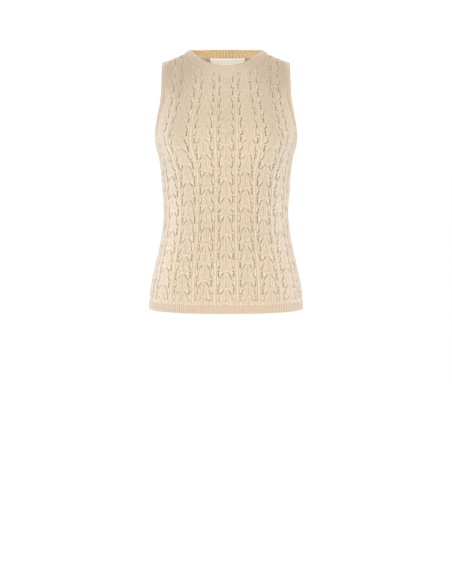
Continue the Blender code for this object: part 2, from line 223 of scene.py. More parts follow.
def fullness(x, height, half):
    """What is left of a section's depth where the cloth rounds over below the shoulder line."""
    roll = HALVES[half]
    along = np.clip((np.abs(x) - NECK_SIDE_X) / (ARMHOLE_TOP_X - NECK_SIDE_X), 0, 1)
    drop = roll.neck_drop + (roll.tip_drop - roll.neck_drop) * along
    power = roll.neck_power + (roll.tip_power - roll.neck_power) * along
    below = np.clip((line_height(x, half) - height) / drop, 0, 1)
    return np.sin(pi / 2 * below) ** power


def form(angle, height, half):
    """Points on the form, from angles round the body and heights."""
    angle, height = np.broadcast_arrays(angle, height)
    x = smooth("half_width", height) * np.sin(angle)
    depth = half_depth(height, half) * np.cos(angle) * (1 + SQUARENESS * np.sin(angle) ** 2)
    return stacked(x, half * depth * fullness(x, height, half), height)


def form_angle(x, height):
    return np.arcsin(np.clip(x / smooth("half_width", height), -1, 1))


def unit(vectors):
    return vectors / np.linalg.norm(vectors, axis=-1, keepdims=True)


def form_normal(angle, height, half):
    round_body = form(angle + NUDGE, height, half) - form(angle - NUDGE, height, half)
    up_body = form(angle, height + NUDGE, half) - form(angle, height - NUDGE, half)
    normal = half * np.cross(up_body, round_body)
    x = smooth("half_width", height) * np.sin(angle)
    on_line = line_height(x, half) - height < LINE_WIDTH
    normal[on_line] = stacked(SHOULDER_SLOPE * np.sign(x), 0, 1)[on_line]
    return unit(normal)


def is_inside(points):
    x, y, z = points.T
    angle = form_angle(x, z)
    shape = np.cos(angle) * (1 + SQUARENESS * np.sin(angle) ** 2)
    held = np.zeros(len(points), dtype=bool)
    for half in (FRONT, BACK):
        reach = half_depth(z, half) * shape * fullness(x, z, half)
        held |= (half * y >= 0) & (half * y < reach) & (line_height(x, half) > z)
    return held & (np.abs(x) < smooth("half_width", z))


def to_form(points, normals):
    """Points slid along their normals onto the form."""
    low, high = np.full(len(points), -FORM_REACH), np.full(len(points), FORM_REACH)
    for _ in range(HALVINGS):
        middle = (low + high) / 2
        held = is_inside(points + normals * middle[:, None])
        low, high = np.where(held, middle, low), np.where(held, high, middle)
    return points + normals * ((low + high) / 2)[:, None]


def spots(points):
    """Angles and heights of points on the form."""
    return form_angle(points[:, 0], points[:, 2]), points[:, 2]


def normals_at(points, half):
    return form_normal(*spots(points), half)


def arc_lengths(points):
    return np.concatenate([[0], np.cumsum(np.linalg.norm(np.diff(points, axis=0), axis=1))])


def even_points(curve, count):
    length = arc_lengths(curve)
    at = np.linspace(0, length[-1], count + 1)
    return stacked(*(np.interp(at, length, column) for column in curve.T))


def step_off(points, half, distance, start_tangent, end_tangent):
    """A curve on the form, moved sideways over it by a distance."""
    normals = normals_at(points, half)
    tangents = np.gradient(points, axis=0)
    tangents[0], tangents[-1] = start_tangent, end_tangent
    return to_form(points + unit(np.cross(normals, unit(tangents))) * distance, normals)


def armhole_curve(half, offset, count):
    """The left armhole's edge from the underarm to the shoulder line, moved onto the panel."""
    top_z = float(line_height(ARMHOLE_TOP_X, half))
    share = np.sin(pi / 2 * np.linspace(0, 1, ARMHOLE_SAMPLES)) ** 2
    height = ARMHOLE_BOTTOM_Z + (top_z - ARMHOLE_BOTTOM_Z) * share
    first, second = ARMHOLE_CURVE
    forward = (1 - (1 - share) ** first) ** second
    angle = SIDE - (SIDE - form_angle(ARMHOLE_TOP_X, top_z)) * forward
    edge = even_points(form(angle, height, half), count)
    along_y = np.array([0, half, 0])
    return step_off(edge, half, -half * offset, along_y, -along_y)


def neck_seam(half, offset, turn):
    """The neck seam from the centre to the shoulder line, moved down onto the panel by offset."""
    power = 2 / HALVES[half].seam_roundness
    x = NECK_SIDE_X * np.sin(turn) ** power
    height = NECK_SIDE_Z - HALVES[half].seam_drop * np.cos(turn) ** power
    height[-1] = NECK_SIDE_Z
    points = form(form_angle(x, height), height, half)
    return step_off(points, half, half * offset, np.array([1, 0, 0]), np.array([0, -half, 0]))


def neck_opening(half, turn):
    x = OPENING_SIDE_X * np.sin(turn)
    y = half * HALVES[half].opening_depth * np.cos(turn)
    z = OPENING_SIDE_Z + HALVES[half].opening_rise * np.cos(turn) ** HALVES[half].opening_power
    return stacked(x, y, z)


# ---- pattern space onto the form
def cord_angles(height, half):
    """Angles of the cords at CORD_PLACES, one row for each height."""
    known = [row.height for row in CORDS][::-1]
    named = [np.radians(hermite(known, [getattr(row, name) * share for row in CORDS][::-1], height))
             for name, share in zip(Cords._fields[1:], HALVES[half].cord_share)]
    return stacked(0, *named, (named[2] + SIDE) / 2, SIDE)


def angle_at(column, height, half):
    """Angle of a wale, from its column number (0 at the centre, 4.5 at the side seam)."""
    angles = cord_angles(height, half)
    size = np.abs(column)
    low = np.clip(np.searchsorted(CORD_PLACES, size, side="right") - 1, 0, len(CORD_PLACES) - 2)
    start = np.take_along_axis(angles, low[..., None], -1)[..., 0]
    end = np.take_along_axis(angles, low[..., None] + 1, -1)[..., 0]
    share = (size - CORD_PLACES[low]) / (CORD_PLACES[low + 1] - CORD_PLACES[low])
    return np.sign(column) * (start + (end - start) * share)


def column_at(angle, height, half):
    """The reverse of angle_at."""
    angles = cord_angles(height, half)
    size = np.abs(angle)
    low = np.clip((size[:, None] >= angles).sum(1) - 1, 0, len(CORD_PLACES) - 2)
    start, end = angles[np.arange(len(low)), low], angles[np.arange(len(low)), low + 1]
    share = (size - start) / (end - start)
    return np.sign(angle) * (CORD_PLACES[low] + share * (CORD_PLACES[low + 1] - CORD_PLACES[low]))


class Lay:
    """Where each wale and repeat of a panel lies on the form."""

    BOTTOM = -0.552  # height where the tables start, just below the hem
    COLUMNS_READ = 4.6, 93  # the tables' outermost column, and how many they hold
    HEIGHTS_READ = 500  # places up each column
    DEPTHS_READ = 18, 1801  # repeats down from the shoulder line, and places in them
    ROUNDS = 25  # of the search for where a wale meets the shoulder line

    def __init__(self, half):
        self.half = half
        self.columns = np.linspace(0, *self.COLUMNS_READ)
        self.share = np.linspace(0, 1, self.HEIGHTS_READ)
        rows = []
        for column in self.columns:
            wale = np.full(self.share.shape, column)
            height = self.heights(wale, self.share)
            length = arc_lengths(form(angle_at(wale, height, half), height, half))
            count = hermite([z for _, z in BARS], [n for n, _ in BARS], height)
            past = np.interp(BARS[-1][1], height, length)
            count = np.where(height < BARS[-1][1], count, TOP_BAR + (length - past) / TOP_REPEAT)
            rows.append(count + COURSE_DIP * column ** 2 * ramp(height, HEM_SEAM_Z, DIP_START))
        self.counts = np.array(rows)
        self.tops = self.counts[:, -1]
        self.depths = np.linspace(0, *self.DEPTHS_READ)
        self.by_depth = np.array([np.interp(self.depths, (row[-1] - row)[::-1], self.share[::-1])
                                  for row in rows])

    def top_height(self, column):
        """Height at which a wale meets the shoulder line."""
        height = np.zeros(np.shape(column))
        for _ in range(self.ROUNDS):
            x = smooth("half_width", height) * np.sin(angle_at(column, height, self.half))
            height = line_height(x, self.half)
        return height

    def heights(self, column, share):
        return self.BOTTOM + (self.top_height(column) - self.BOTTOM) * (1 - (1 - share) ** 2)

    def blend(self, table, column, place, step):
        """Read a table with one row for each column, between its rows and places."""
        row = np.abs(column) / (self.columns[1] - self.columns[0])
        row = np.clip(row, 0, len(self.columns) - 1.001)
        spot = np.clip(place / step, 0, table.shape[1] - 1.001)
        r, s = row.astype(int), spot.astype(int)
        a, b = row - r, spot - s
        return ((1 - a) * ((1 - b) * table[r, s] + b * table[r, s + 1])
                + a * ((1 - b) * table[r + 1, s] + b * table[r + 1, s + 1]))

    def place(self, flat):
        """Angle and height of points in mm of pattern space."""
        column, repeat = (flat[:, :2] / PITCH).T
        depth = np.interp(np.abs(column), self.columns, self.tops) - repeat
        share = self.blend(self.by_depth, column, depth, self.depths[1])
        height = self.heights(column, share)
        return angle_at(column, height, self.half), height

    def unplace(self, angle, height):
        """Column and repeat of points on the form."""
        column = column_at(angle, height, self.half)
        top = self.top_height(column)
        share = 1 - np.sqrt(np.clip(1 - (height - self.BOTTOM) / (top - self.BOTTOM), 0, 1))
        return stacked(column, self.blend(self.counts, column, share, self.share[1]))


def outline(lay):
    """The panel's edge in mm of pattern space, anticlockwise from the bottom left."""
    bottom = HEM_SEAM_Z - TUCK * MM
    armhole = armhole_curve(lay.half, BAND_WIDTH - TUCK * MM, 90)
    neck = neck_seam(lay.half, -TUCK * MM, np.linspace(0, SIDE, 61))
    side = lay.unplace(np.full(100, SIDE), np.linspace(bottom, armhole[0, 2], 100))
    arm, collar = lay.unplace(*spots(armhole)), lay.unplace(*spots(neck))[::-1]
    columns = np.linspace(arm[-1, 0], collar[0, 0], 30)
    shoulder = stacked(columns, np.interp(columns, lay.columns, lay.tops))
    low = np.interp(bottom, [z for _, z in BARS], [n for n, _ in BARS])
    hem = stacked(np.linspace(0, COLUMNS / 2, 300), low)
    edges = [hem, side, arm, shoulder, collar]
    for before, edge in zip(edges, edges[1:]):
        edge[0] = before[-1]
    rows = []
    for edge in edges:
        edge = edge * PITCH
        rows.append(even_points(edge, max(2, round(arc_lengths(edge)[-1] / EDGE_STEP)))[:-1])
    right = np.vstack(rows + [collar[-1:] * PITCH])
    return np.vstack([right, right[-2:0:-1] * (-1, 1)])


def inside_polygon(points, polygon):
    inside = np.zeros(len(points), bool)
    x, y = points.T
    for (x0, y0), (x1, y1) in zip(polygon, np.roll(polygon, -1, axis=0)):
        if y0 != y1:
            inside ^= ((y0 > y) != (y1 > y)) & (x < x0 + (y - y0) * (x1 - x0) / (y1 - y0))
    return inside


def edge_distance(points, polygon):
    best = np.full(len(points), np.inf)
    for start, end in zip(polygon, np.roll(polygon, -1, axis=0)):
        along = end - start
        share = np.clip((points - start) @ along / (along @ along), 0, 1)
        gap = points - start - share[:, None] * along
        best = np.minimum(best, (gap ** 2).sum(1))
    return np.sqrt(best)


def cells(low, high):
    """Column number and bar position of every motif that may touch the panel."""
    for column in range(-(COLUMNS // 2), COLUMNS // 2 + 1):
        drop = 0.5 * (column % 2)
        for bar in range(int(low) - 1, int(high) + 3):
            yield column, bar + drop


def eyelet_shapes():
    """Centre, half axes and lean of each eyelet of a motif, in mm from its middle and its bar."""
    for eyelet in EYELETS:
        for side in (-1, 1):
            yield (side * eyelet.across * COLUMN_PITCH / 2, -eyelet.down * REPEAT_PITCH,
                   eyelet.long / 2, eyelet.wide / 2, side * radians(eyelet.lean))


def motif_lattice(samples, rows):
    """Lattice points of one motif in mm, from its column's middle and its bar."""
    across = sorted({side * value for value in samples for side in (-1, 1)} - {-1.0})
    return np.array([(x * COLUMN_PITCH / 2, -y * REPEAT_PITCH) for x in across for y in rows])


def clear_of_eyelets(points, eyelets, room):
    """The points that are further than room, in mm, from every eyelet's rim."""
    tree = KDTree(len(points))
    for number, (x, y) in enumerate(points):
        tree.insert((x, y, 0), number)
    tree.balance()
    keep = np.ones(len(points), bool)
    for x, y, long, wide, lean in eyelets:
        near = [number for _, number, _ in tree.find_range((x, y, 0), max(long, wide) + room)]
        dx, dy = (points[near] - (x, y)).T
        along = dx * np.sin(lean) - dy * np.cos(lean)
        across = dx * np.cos(lean) + dy * np.sin(lean)
        keep[near] &= (along / (long + room)) ** 2 + (across / (wide + room)) ** 2 > 1
    return points[keep]


def layout(lay, edge):
    """Everything that the panel's mesh goes through: outer and inner lattice points and eyelets."""
    random = np.random.default_rng(HALVES[lay.half].seed)
    low, high = edge[:, 1].min() / REPEAT_PITCH, edge[:, 1].max() / REPEAT_PITCH
    shapes = list(eyelet_shapes())
    leaf = motif_lattice(LEAF_SAMPLES, LEAF_ROWS)
    inner_leaf = motif_lattice(INNER_SAMPLES, INNER_ROWS)
    points, inner, eyelets = [], [], []
    size = HALVES[lay.half].eyelet_size
    for column, bar in cells(low, high):
        origin = np.array([column, bar]) * PITCH
        points.append(leaf + origin)
        inner.append(inner_leaf + origin)
        closing = ARMS_CLOSED * ramp(bar, BUST_BAR, ARMS_FADE)
        closed = 1 - (OUTER_ARMS if column else 1) * (1 - closing)
        stretch = size * (1 + BUST_STRETCH * bump(bar - BUST_BAR, BUST_SPREAD))
        for x, y, long, wide, lean in shapes:
            arm = abs(x) < ARMS[0] * COLUMN_PITCH / 2 and 0 < -y < ARMS[1] * REPEAT_PITCH
            shift = [random.uniform(-most, most) for most in SHIFT]
            eyelets.append((*(origin + (x, y) + shift), long * random.uniform(*LENGTHS) * size,
                            wide * random.uniform(*WIDTHS) * stretch * (1 - arm * closed),
                            lean + random.uniform(-TURN, TURN)))
    rows = np.arange(low - 0.5, high + 0.5, 1 / CORD_ROWS) * REPEAT_PITCH
    for cord in range(COLUMNS + 1):
        for sample in CORD_SAMPLES:
            for side in ((-1, 1) if sample else (1,)):
                x = (cord - COLUMNS / 2) * COLUMN_PITCH + side * sample
                points.append(stacked(x, rows))
    eyelets = np.array(eyelets)
    eyelets = eyelets[inside_polygon(eyelets[:, :2], edge)]
    eyelets = eyelets[edge_distance(eyelets[:, :2], edge) > EYELET_ROOM]
    eyelets = eyelets[lay.place(eyelets)[1] > HEM_SEAM_Z + HALVES[lay.half].lowest_eyelet]

    def kept(lattice, edge_room, rim_room):
        lattice = np.vstack(lattice)
        lattice = lattice[inside_polygon(lattice, edge)]
        return clear_of_eyelets(lattice[edge_distance(lattice, edge) > edge_room], eyelets, rim_room)

    return kept(points, *OUTER_ROOM), kept(inner, *INNER_ROOM), eyelets


def eyelet_rims(eyelets):
    turn = np.arange(EYELET_SIDES) * 2 * pi / EYELET_SIDES
    x, y, long, wide, lean = eyelets.T[:, :, None]
    along, across = long * np.cos(turn), wide * np.sin(turn)
    return stacked(x + along * np.sin(lean) + across * np.cos(lean),
                   y - along * np.cos(lean) + across * np.sin(lean))


def triangulate(edge, rims, points):
    """Triangles through the points, inside the edge and outside the rims; rim points come first."""
    edge_count, rim_count = len(edge), rims.shape[0] * rims.shape[1]
    flat = np.vstack([edge, rims.reshape(-1, 2), points])
    index = np.arange(edge_count)
    loops = (edge_count + np.arange(rim_count)).reshape(rims.shape[:2])
    segments = np.vstack([stacked(index, np.roll(index, -1)),
                          stacked(loops, np.roll(loops, -1, axis=1)).reshape(-1, 2)])
    made = delaunay_2d_cdt([tuple(place) for place in flat], segments.tolist(), [], 0, 1e-7)
    faces = np.array([source[0] for source in made[3]])[np.array(made[2])]
    # What each corner belongs to: the number of its eyelet, -2 for the panel's edge, or -1
    kind = np.where(faces < edge_count + rim_count, (faces - edge_count) // rims.shape[1], -1)
    kind = np.where(faces < edge_count, -2, kind)
    same = (kind[:, 0] == kind[:, 1]) & (kind[:, 1] == kind[:, 2])
    on_edge = np.where(same & (kind[:, 0] == -2))[0]
    outside = same & (kind[:, 0] >= 0)
    outside[on_edge] = ~inside_polygon(flat[faces[on_edge]].mean(1), edge)
    return flat, faces[~outside]


# What a half motif adds to the cloth's height in mm (RELIEF), and the painted light and shade it puts
# on its yarn (the second table): painted highlights on cords, bars and patches, painted shade in
# grooves and wales. Stripes run along the cord, in mm from it; lips along the bar and patches below
# it are in shares of the half column and of the repeat. The least is what is left at the shoulders.
Stripe = namedtuple("Stripe", "height at width")
Lip = namedtuple("Lip", "height half_width at width")
Patch = namedtuple("Patch", "height across width down length")
Layer = namedtuple("Layer", "base groove stripe leaf wale lips patches least_cord least_motif")
RELIEF = Layer(0.0, Stripe(-0.40, 3.6, 0.5), Stripe(0.25, 5.0, 0.9), 0.20, 0.20, (
    Lip(0.60, 0.18, -0.04, 0.035), Lip(-0.15, 0.14, 0.04, 0.022)), (
    Patch(0.40, 0.47, 0.13, 0.10, 0.11), Patch(0.30, 0.76, 0.07, 0.52, 0.12)), 0.6, 0.3)
PAINTED_LIGHT = Layer(0.52, Stripe(-0.75, 3.6, 0.5), Stripe(0.40, 5.1, 0.8), 0.0, 0.35, (
    Lip(0.55, 0.20, -0.04, 0.045), Lip(-0.275, 0.20, -0.13, 0.03), Lip(-0.20, 0.14, 0.04, 0.022)), (
    Patch(0.40, 0.47, 0.13, 0.06, 0.13), Patch(0.30, 0.75, 0.06, 0.42, 0.10),
    Patch(0.30, 0.66, 0.06, 0.61, 0.06), Patch(0.20, 0.36, 0.06, 0.65, 0.20)), 0.5, 0.2)
CORD_HEIGHT = 0.55  # mm
CORD_LIGHT, CORD_FACE, CORD_FADE = 0.28, 2.9, 1.4  # painted highlight on a cord, and mm out to its side
WALE_PAIR = 0.25  # share of a half column from one drawn wale of the leaf to the next
WALES_TOP, WALES_FOOT, WALES_FADE = 0.15, 0.86, 0.20  # where they are drawn, down the repeat
WALES_SIDE, WALES_SIDE_FADE = 0.56, 0.12  # and across the half column
WALES_DRAWN, MIDDLE_DRAWN, MIDDLE_WIDTH = 0.6, 2.0, 0.10  # how strongly; the middle one most


def motif_places(points):
    """For points in mm of pattern space: distance from the nearest cord in mm, share of the half
    column from its middle, share of the repeat below its bar, the same from the nearest bar, and
    how strongly the motif is drawn: it is fainter towards the shoulders."""
    column, repeat = (points / PITCH).T
    middle = np.clip(np.round(column), -(COLUMNS // 2), COLUMNS // 2)
    down = (0.5 * (middle % 2) - repeat) % 1
    across = np.abs(column - middle) * 2
    strength = 1 - ramp(repeat, BUST_BAR, MOTIF_FADE)
    from_bar = np.where(down < 0.5, down, down - 1)
    return (1 - across) * COLUMN_PITCH / 2, across, down, from_bar, strength


def leaf_share(across, down):
    """1 on the raised leaf and 0 beside it."""
    width = np.interp(down, *np.array(LEAF_OUTLINE).T)
    return smoothstep((width - across) / LEAF_EDGE + 0.5)


def wales(across, down):
    """Below 0 on the sunk wales of the leaf and above 0 between them, fading out at its ends."""
    fade = ramp(down, WALES_TOP, WALES_FADE) * smoothstep((WALES_FOOT - down) / WALES_FADE)
    side_fade = smoothstep((WALES_SIDE - across) / WALES_SIDE_FADE)
    drawn = WALES_DRAWN + MIDDLE_DRAWN * bump(across, MIDDLE_WIDTH)
    return -np.cos(2 * pi * across / WALE_PAIR) * fade * side_fade * drawn


def draw(layer, cord, to_cord, across, down, from_bar, strength):
    """A layer's values at the places that motif_places gives, over what the cord alone adds."""
    groove, stripe = (line.height * bump(to_cord - line.at, line.width) for line in layer[1:3])
    motif = layer.leaf * leaf_share(across, down) + layer.wale * wales(across, down)
    for lip in layer.lips:
        motif += (lip.height * np.exp(-(across / lip.half_width) ** 4)
                  * bump(from_bar - lip.at, lip.width))
    for patch in layer.patches:
        motif += (patch.height * bump(across - patch.across, patch.width)
                  * bump(down - patch.down, patch.length))
    cord_share, motif_share = (least + (1 - least) * strength for least in layer[-2:])
    return layer.base + (cord + groove) * cord_share + stripe + motif * motif_share


def relief(points):
    """Height of the cloth over the form in mm, from mm of pattern space."""
    places = motif_places(points)
    cord = CORD_HEIGHT * np.sqrt(np.clip(1 - (places[0] / CORD_HALF_WIDTH) ** 2, 0, 1))
    return draw(RELIEF, cord, *places)


def painted_light(points):
    """Painted light and shade on the yarn's face, 0 to 1, from mm of pattern space."""
    places = motif_places(points)
    return draw(PAINTED_LIGHT, CORD_LIGHT * smoothstep((CORD_FACE - places[0]) / CORD_FADE), *places)


# Soft folds, listed one by one. Angles in degrees round the body, heights and depths in mm; a fold
# runs from its start to its end, and a negative depth is a trough.
FOLD_TAPER = 0.45  # share of its depth that it loses on the way
Fold = namedtuple("Fold", "half angle height end_angle end_height width depth")
FOLDS = [Fold(*row) for row in (
    (FRONT, 74, -222, 50, -200, 13, -2.2), (FRONT, -76, -226, -53, -205, 12, -1.9),
    (FRONT, 70, -262, 47, -238, 15, -1.3), (FRONT, -68, -268, -44, -240, 14, -1.5),
    (FRONT, 84, -345, 58, -332, 14, -1.4), (FRONT, -82, -338, -60, -346, 15, -1.2),
    (FRONT, 58, -92, 52, -150, 13, -1.3), (FRONT, -56, -96, -53, -146, 12, -1.5),
    (BACK, 68, -225, 40, -205, 14, -1.8), (BACK, -70, -218, -46, -208, 13, -2.0),
    (BACK, 80, -335, 30, -322, 16, -1.7), (BACK, -78, -328, -36, -330, 15, -1.5),
    (BACK, 72, -362, 44, -352, 13, -1.0), (BACK, -70, -356, -40, -360, 14, -1.3),
    (BACK, 50, -80, 44, -150, 13, -1.4), (BACK, -52, -84, -46, -142, 14, -1.2),
)]


def folds(points, half):
    """How far the folds move points on the form, in mm along the normal."""
    moved = np.zeros(points.shape[:-1])
    flat = points * TO_MM
    for fold in FOLDS:
        if fold.half != half:
            continue
        heights = np.array([fold.height, fold.end_height]) * MM
        start, end = form(np.radians([fold.angle, fold.end_angle]), heights, half) * TO_MM
        along = end - start
        share = np.clip((flat - start) @ along / (along @ along), 0, 1)
        gap = np.linalg.norm(flat - start - share[..., None] * along, axis=-1)
        moved += fold.depth * (1 - FOLD_TAPER * share) * bump(gap, fold.width)
    return moved


def placed(name, data):
    """An object with this data, in the scene."""
    item = bpy.data.objects.new(name, data)
    bpy.context.scene.collection.objects.link(item)
    return item


def new_piece(name, points, faces, uv, painted_light, materials, marks):
    """A smooth mesh object. marks number each face's material; the point attribute is painted light
    and shade, 1 for the most light.
    """
    data = bpy.data.meshes.new(name)
    data.from_pydata(points.tolist(), [], faces)
    for material in materials:
        data.materials.append(material)
    data.polygons.foreach_set("material_index", np.asarray(marks, int))
    data.update()
    data.shade_smooth()
    corner = np.empty(len(data.loops), int)
    data.loops.foreach_get("vertex_index", corner)
    data.uv_layers.new(name="stitches").data.foreach_set("uv", np.asarray(uv, float)[corner].ravel())
    data.attributes.new("painted_light", "FLOAT", "POINT").data.foreach_set("value", np.clip(painted_light, 0, 1))
    return placed(name, data)


def open_edges(faces, count):
    """Directed edges that only one triangle has."""
    directed = np.vstack([faces[:, [0, 1]], faces[:, [1, 2]], faces[:, [2, 0]]])
    key = directed[:, 0].astype(np.int64) * count + directed[:, 1]
    back = directed[:, 1].astype(np.int64) * count + directed[:, 0]
    return directed[~np.isin(back, key)]


def wound(flat, faces, way):
    """The faces, all anticlockwise in pattern space for way 1 and clockwise for way -1."""
    a, b, c = (flat[faces[:, corner]] for corner in range(3))
    turn = (b - a)[:, 0] * (c - a)[:, 1] - (b - a)[:, 1] * (c - a)[:, 0]
    return np.where((way * turn < 0)[:, None], faces[:, ::-1], faces)


# Painted shade on the shoulders and at the sides of the bust, and painted light on the chest. Ramps
# hold where they start and their length, in metres.
SHOULDER_SHADE, BUST_SHADE, CHEST_LIGHT = 0.30, 0.30, 0.22
SHOULDER_RAMP, OUTWARD_RAMP = (-0.085, 0.05), (0.03, 0.05)
BUST_SIDE, BUST_WIDTH, BUST_RAMP = 0.112, 0.035, (-0.36, 0.12)
CHEST_RAMP = (-0.125, 0.05)


def shoulder_shade(points):
    """Painted shade here, as a loss of light against the middle of the body; below 0 for painted
    light.
    """
    side, height = np.abs(points[:, 0]), points[:, 2]
    top, outward = ramp(height, *SHOULDER_RAMP), ramp(side, *OUTWARD_RAMP)
    bust = BUST_SHADE * (1 - top) * bump(side - BUST_SIDE, BUST_WIDTH) * ramp(height, *BUST_RAMP)
    chest = CHEST_LIGHT * ramp(height, *CHEST_RAMP) * (1 - outward)
    return SHOULDER_SHADE * top * outward + bust - chest


EDGE_SINK = 0.12  # mm that cloth sinks at the rim of an eyelet
EDGE_TOP = 0.2  # mm over the form that a panel's edge may reach
INNER_DEPTH, INNER_RELIEF = 1.5, 0.35  # mm of the inside under the form; how much shows there
THINNEST = 0.5  # mm
RIM_LIGHT = 0.35  # painted highlight round the rim of each eyelet
NECK_RAMP = (-0.080, 0.05)  # painted shade on the inside deep in the body, giving way to painted light at the neck


def make_panel(name, half, materials):
    """A lace panel: an outer and an inner face with the eyelets open between them."""
    lay = Lay(half)
    edge = outline(lay)
    points, inner, eyelets = layout(lay, edge)
    rims = eyelet_rims(eyelets)
    outer_flat, outer_faces = triangulate(edge, rims, points)
    inner_flat, inner_faces = triangulate(edge, rims, inner)
    start, shared = len(outer_flat), len(edge) + rims.shape[0] * rims.shape[1]

    def lift(flat, height):
        angle, z = lay.place(flat)
        base, normal = form(angle, z, half), form_normal(angle, z, half)
        return base + normal * (height + folds(base, half))[:, None] * MM

    outer_lift = relief(outer_flat)
    outer_lift[:shared] -= EDGE_SINK
    outer_lift[:len(edge)] = np.minimum(outer_lift[:len(edge)], EDGE_TOP)
    inner_lift = INNER_RELIEF * relief(inner_flat) - INNER_DEPTH
    most = outer_lift[:shared] - THINNEST
    inner_lift[:shared] = np.minimum(inner_lift[:shared] + EDGE_SINK, most)
    vertices = np.vstack([lift(outer_flat, outer_lift), lift(inner_flat, inner_lift)])
    outer_faces, inner_faces = wound(outer_flat, outer_faces, 1), wound(inner_flat, inner_faces, -1)
    rim = open_edges(outer_faces, start)
    walls = stacked(rim[:, 1], rim[:, 0], rim[:, 0] + start, rim[:, 1] + start)
    walls = np.vstack([walls[:, [0, 1, 2]], walls[:, [0, 2, 3]]])
    faces = np.vstack([outer_faces, inner_faces + start, walls])
    if half == BACK:
        faces = faces[:, ::-1]
    uv = np.vstack([outer_flat, inner_flat]) * ((STITCHES, ROWS) / PITCH)
    outer_painted_light = painted_light(outer_flat)
    outer_painted_light[len(edge):shared] += RIM_LIGHT
    outer_painted_light -= shoulder_shade(vertices[:start])
    bright = np.concatenate([outer_painted_light, ramp(vertices[start:, 2], *NECK_RAMP)])
    marks = np.repeat((0, 1, 2), (len(outer_faces), len(inner_faces), len(walls)))
    return new_piece(name, vertices, faces.tolist(), uv, bright, materials, marks)


# ---- bands, borders and label
WALE = 1.85  # mm across a stitch of the rib
COURSE = 1.9  # mm up a stitch
PROFILE_STEPS = 9  # points across each face of a strip
PROFILE_END = 5  # points round each of its rolled edges
INSIDE_ROWS = range(PROFILE_STEPS + PROFILE_END // 2,
                    2 * PROFILE_STEPS + PROFILE_END + PROFILE_END // 2)


def capsule(length, top, depth):
    """Profile of a strip of cloth with rounded edges, all round: distance along it and height in
    mm. Its faces lie at top and at -depth."""
    radius, middle = (top + depth) / 2, (top - depth) / 2
    across = np.linspace(radius, length - radius, PROFILE_STEPS)
    turn = np.linspace(0, pi, PROFILE_END + 2)[1:-1]
    out, up = radius * np.sin(turn), radius * np.cos(turn)
    return np.vstack([stacked(across, top), stacked(length - radius + out, middle + up),
                      stacked(across[::-1], -depth), stacked(radius - out, middle - up)])


def strip(name, lines, materials, ring=True, flip=False, inside=INSIDE_ROWS):
    """A closed strip from the lines of its profile, each with its points, places across and up its
    stitches, and painted light and shade; ring when it meets itself."""
    points = np.array([line[0] for line in lines])
    rows, count = points.shape[:2]
    uv = np.array([stacked(*line[1:3]) for line in lines])
    painted_light = np.concatenate([np.broadcast_to(line[3], count) for line in lines])
    index = np.arange(rows * count).reshape(rows, count)
    if ring:
        index = np.hstack([index, index[:, :1]])
    index = np.vstack([index, index[:1]])
    faces = stacked(index[:-1, :-1], index[:-1, 1:], index[1:, 1:], index[1:, :-1]).reshape(-1, 4)
    marks = np.repeat(np.isin(np.arange(rows), inside), index.shape[1] - 1).tolist()
    faces = (faces[:, ::-1] if flip else faces).tolist()
    if not ring:
        ends = [index[:-1, 0].tolist(), index[:-1, -1].tolist()[::-1]]
        faces += [end[::-1] for end in ends] if flip else ends
        marks += [False, False]
    piece = new_piece(name, points.reshape(-1, 3), faces, uv.reshape(-1, 2), painted_light, materials, marks)
    if ring:
        # Where the strip meets itself its stitches run on, and do not turn back to the first
        lap = uv[0, -1, 0] + uv[0, 1, 0] - 2 * uv[0, 0, 0]
        corners = piece.data.uv_layers["stitches"].data
        for face in list(piece.data.polygons)[count - 1::count]:
            for loop in face.loop_indices:
                if piece.data.loops[loop].vertex_index % count == 0:
                    corners[loop].uv.x += lap
    return piece


def ribs(around, period):
    """1 on the ribs and 0 between them."""
    return np.abs(np.cos(pi * around / period))


def ribs_around(loop, period):
    """Distance round a closed loop in mm, stretched so that it holds a whole number of ribs."""
    around = arc_lengths(np.vstack([loop, loop[:1]])) * TO_MM
    return around[:-1] * period * round(around[-1] / period) / around[-1]


BAND_RIB = 3.35  # mm, of the faint rib outside the neckband and armhole bands
NECK_RIB = 6.7  # mm, of the strong rib inside the neckband
NECKBAND_WIDTH = 14.0  # mm, that its profile is drawn for
NECKBAND_FACES = 0.5, 1.9  # mm, of its faces over and under the surface that it lies on
NECKBAND_BULGE, STRONG_RIB, FAINT_RIB = 1.2, 1.1, 0.25  # mm
FRONT_LIGHT, SIDE_SHADE, SIDE_X = 0.60, 0.50, 0.08  # painted light on its outside's front, and painted shade towards its sides
NECK_LIGHT, FAINT_LIGHT = 0.55, 0.25  # painted light inside it, and the painted light and shade of the faint rib


def neck_quarter(half, share):
    """Seam, top edge and seam normals of a quarter of the neckband, from centre to side."""
    turn = np.linspace(0, SIDE, NECK_SAMPLES)
    seam, top = neck_seam(half, SEAM_GAP, turn), neck_opening(half, turn)
    length = arc_lengths((seam + top) / 2)
    return [stacked(*(np.interp(share * length[-1], length, column) for column in rows.T))
            for rows in (seam, top, normals_at(seam, half))]


